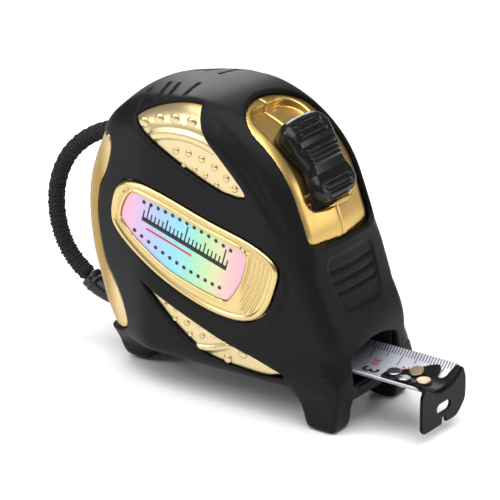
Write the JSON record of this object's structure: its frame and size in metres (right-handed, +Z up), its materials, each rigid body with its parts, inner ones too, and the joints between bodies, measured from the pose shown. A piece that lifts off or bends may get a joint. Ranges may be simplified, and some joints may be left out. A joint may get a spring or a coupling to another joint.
{
  "type": "tape measure",
  "caption": "Pocket tape measure: gold-plated case in a black rubber jacket, lock slider on the front, wound steel blade with end hook, and a woven hand strap.",
  "frame": {"origin": "bottom centre of the case, blade and hook together, on the surface the feet stand on, without the hand strap", "axes": "+X the way the blade pulls out, +Y towards the side the case screws enter, +Z up"},
  "size_m": [0.1489, 0.048, 0.0939],
  "materials": {
    "gold_plating": "satin gold plating on moulded plastic",
    "rubber": "matte moulded elastomer",
    "black_plastic": "satin moulded plastic",
    "black_steel": "satin black coated spring steel",
    "steel": "bright steel",
    "bronze": "satin bronze-coloured rivet heads",
    "blade_enamel": "silver-white enamelled spring steel with a printed scale",
    "foil_label": "rainbow diffraction foil under clear film",
    "webbing": "woven black cord"
  },
  "bodies": {
    "case": {"left_cover": "rubber", "right_cover": "rubber", "left_shell": "gold_plating", "right_shell": "gold_plating", "left_badge": "gold_plating", "right_badge": "gold_plating", "left_label": "foil_label", "right_label": "foil_label", "detent_spring": "steel", "brake_pin": "steel", "axle_post": "steel", "left_reel_bush": "black_plastic", "right_reel_bush": "black_plastic", "mouth_bumper": "rubber", "mouth_guide": "black_plastic", "case_screw_1": "steel", "case_screw_2": "steel", "case_screw_3": "steel", "case_screw_4": "steel", "hand_strap": "webbing", "strap_ferrule": "black_plastic", "strap_pin": "steel"},
    "slider": {"lock_slider": "black_plastic", "slider_trim": "gold_plating"},
    "brake": {"brake_arm": "black_plastic", "brake_pad": "rubber"},
    "tape": {"blade": "blade_enamel", "hook_rivet_1": "bronze", "hook_rivet_2": "bronze", "hook_rivet_3": "steel", "hook_rivet_4": "steel"},
    "hook": {"end_hook": "black_steel"},
    "reel": {"blade_coil": "blade_enamel", "reel_drum": "black_plastic", "reel_flange": "black_plastic", "power_spring": "steel"}
  },
  "joints": [
    {"name": "blade_slide", "type": "slide", "parent": "case", "child": "tape", "axis": [1, 0, 0], "range_m": [-0.0222, 0.04]},
    {"name": "hook_play", "type": "slide", "parent": "tape", "child": "hook", "axis": [1, 0, 0], "range_m": [-0.0011, 0]},
    {"name": "reel_spin", "type": "hinge", "parent": "case", "child": "reel", "pos_m": [-0.01845, 0, 0.052], "axis": [0, 1, 0], "range_deg": [-72, 40]},
    {"name": "lock_slide", "type": "hinge", "parent": "case", "child": "slider", "pos_m": [-0.01445, 0, 0.052], "axis": [0, -1, 0], "range_deg": [0, 13]},
    {"name": "brake_lift", "type": "hinge", "parent": "case", "child": "brake", "pos_m": [0.01855, 0, 0.0455], "axis": [0, 1, 0], "range_deg": [0, 2.7]}
  ],
  "couplings": [
    {"joint": "reel_spin", "follows": "blade_slide", "rad_per_m": -30.303},
    {"joint": "brake_lift", "follows": "lock_slide", "ratio": 0.2}
  ]
}
